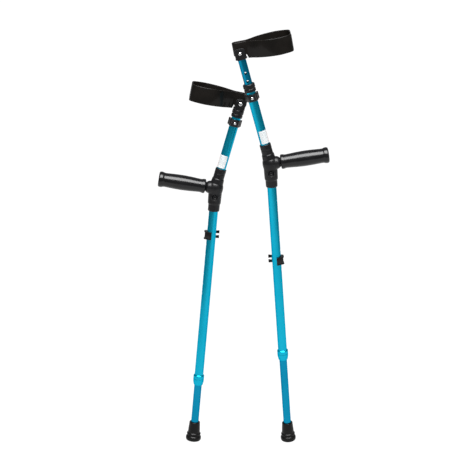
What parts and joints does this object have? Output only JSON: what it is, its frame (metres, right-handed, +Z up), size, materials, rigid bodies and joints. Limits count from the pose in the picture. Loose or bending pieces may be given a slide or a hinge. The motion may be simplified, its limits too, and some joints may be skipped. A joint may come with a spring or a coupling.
{
  "type": "forearm crutch pair",
  "caption": "Pair of aluminium forearm crutches: bent tube, T-bracket hand grip, pivoting C-shaped cuff, telescoping leg and forearm sections locked by pin clips, rubber tips.",
  "frame": {"origin": "on the floor under the centre of the bounding box of the pair", "axes": "+Z up, +X from the left crutch to the right one, -Y towards the side that shows the labels and the forearm clip pins"},
  "size_m": [0.4152, 0.172, 1.0586],
  "materials": {
    "anodised_tube": "teal anodised, satin gloss",
    "moulded_plastic": "fine moulded texture",
    "grip_plastic": "glossy, long highlights",
    "cuff_vinyl": "satin vinyl with a fine grain",
    "tip_rubber": "matt rubber",
    "nylon": "plain",
    "steel": "bright plated",
    "label_paper": "satin label stock"
  },
  "bodies": {
    "left_leg": {"left_leg_tube": "anodised_tube", "left_tip": "tip_rubber", "left_tip_disc": "steel"},
    "left_frame": {"left_outer_tube": "anodised_tube", "left_leg_bush": "nylon", "left_bracket": "moulded_plastic", "left_bracket_screw": "moulded_plastic", "left_bracket_nut": "moulded_plastic", "left_grip_rod": "steel", "left_grip": "grip_plastic", "left_grip_plug": "moulded_plastic", "left_forearm_collar": "moulded_plastic", "left_forearm_collet": "nylon", "left_label": "label_paper"},
    "left_leg_clip": {"left_leg_clip": "moulded_plastic", "left_leg_pin": "steel"},
    "left_forearm_clip": {"left_forearm_clip": "moulded_plastic", "left_forearm_pin": "steel"},
    "left_forearm": {"left_forearm_tube": "anodised_tube", "left_knuckle": "moulded_plastic", "left_pivot_bolt": "steel", "left_pivot_nut": "steel", "left_pivot_spacer": "nylon"},
    "left_cuff": {"left_cuff": "cuff_vinyl"},
    "right_leg": {"right_leg_tube": "anodised_tube", "right_tip": "tip_rubber", "right_tip_disc": "steel"},
    "right_frame": {"right_outer_tube": "anodised_tube", "right_leg_bush": "nylon", "right_bracket": "moulded_plastic", "right_bracket_screw": "moulded_plastic", "right_bracket_nut": "moulded_plastic", "right_grip_rod": "steel", "right_grip": "grip_plastic", "right_grip_plug": "moulded_plastic", "right_forearm_collar": "moulded_plastic", "right_forearm_collet": "nylon", "right_label": "label_paper"},
    "right_leg_clip": {"right_leg_clip": "moulded_plastic", "right_leg_pin": "steel"},
    "right_forearm_clip": {"right_forearm_clip": "moulded_plastic", "right_forearm_pin": "steel"},
    "right_forearm": {"right_forearm_tube": "anodised_tube", "right_knuckle": "moulded_plastic", "right_pivot_bolt": "steel", "right_pivot_nut": "steel", "right_pivot_spacer": "nylon"},
    "right_cuff": {"right_cuff": "cuff_vinyl"}
  },
  "joints": [
    {"name": "pair_apart", "type": "slide", "parent": "left_leg", "child": "right_leg", "axis": [1, 0, 0], "range_m": [0, 0.15]},
    {"name": "left_leg_length", "type": "slide", "parent": "left_leg", "child": "left_frame", "axis": [0.0906, 0.0348, 0.9953], "range_m": [-0.0254, 0.127]},
    {"name": "left_leg_clip_pull", "type": "slide", "parent": "left_frame", "child": "left_leg_clip", "axis": [-0.9957, -0.0143, 0.0912], "range_m": [0, 0.032]},
    {"name": "left_forearm_length", "type": "slide", "parent": "left_frame", "child": "left_forearm", "axis": [0.2806, 0.0369, 0.9591], "range_m": [0, 0.08]},
    {"name": "left_forearm_clip_pull", "type": "slide", "parent": "left_frame", "child": "left_forearm_clip", "axis": [0.0174, -0.9993, 0.0333], "range_m": [0, 0.024]},
    {"name": "left_cuff_pivot", "type": "hinge", "parent": "left_forearm", "child": "left_cuff", "pos_m": [-0.00507, 0.04226, 0.87388], "axis": [0.0174, -0.9993, 0.0333], "range_deg": [-15, 10]},
    {"name": "right_leg_length", "type": "slide", "parent": "right_leg", "child": "right_frame", "axis": [-0.0715, -0.0522, 0.9961], "range_m": [-0.1016, 0.0508]},
    {"name": "right_leg_clip_pull", "type": "slide", "parent": "right_frame", "child": "right_leg_clip", "axis": [0.9971, 0.0224, 0.0727], "range_m": [0, 0.032]},
    {"name": "right_forearm_length", "type": "slide", "parent": "right_frame", "child": "right_forearm", "axis": [-0.2621, -0.0555, 0.9634], "range_m": [-0.06, 0.02]},
    {"name": "right_forearm_clip_pull", "type": "slide", "parent": "right_frame", "child": "right_forearm_clip", "axis": [0.0261, -0.9984, -0.0504], "range_m": [0, 0.024]},
    {"name": "right_cuff_pivot", "type": "hinge", "parent": "right_forearm", "child": "right_cuff", "pos_m": [-0.00673, -0.04233, 1.0089], "axis": [-0.0261, 0.9984, 0.0504], "range_deg": [-15, 10]}
  ]
}
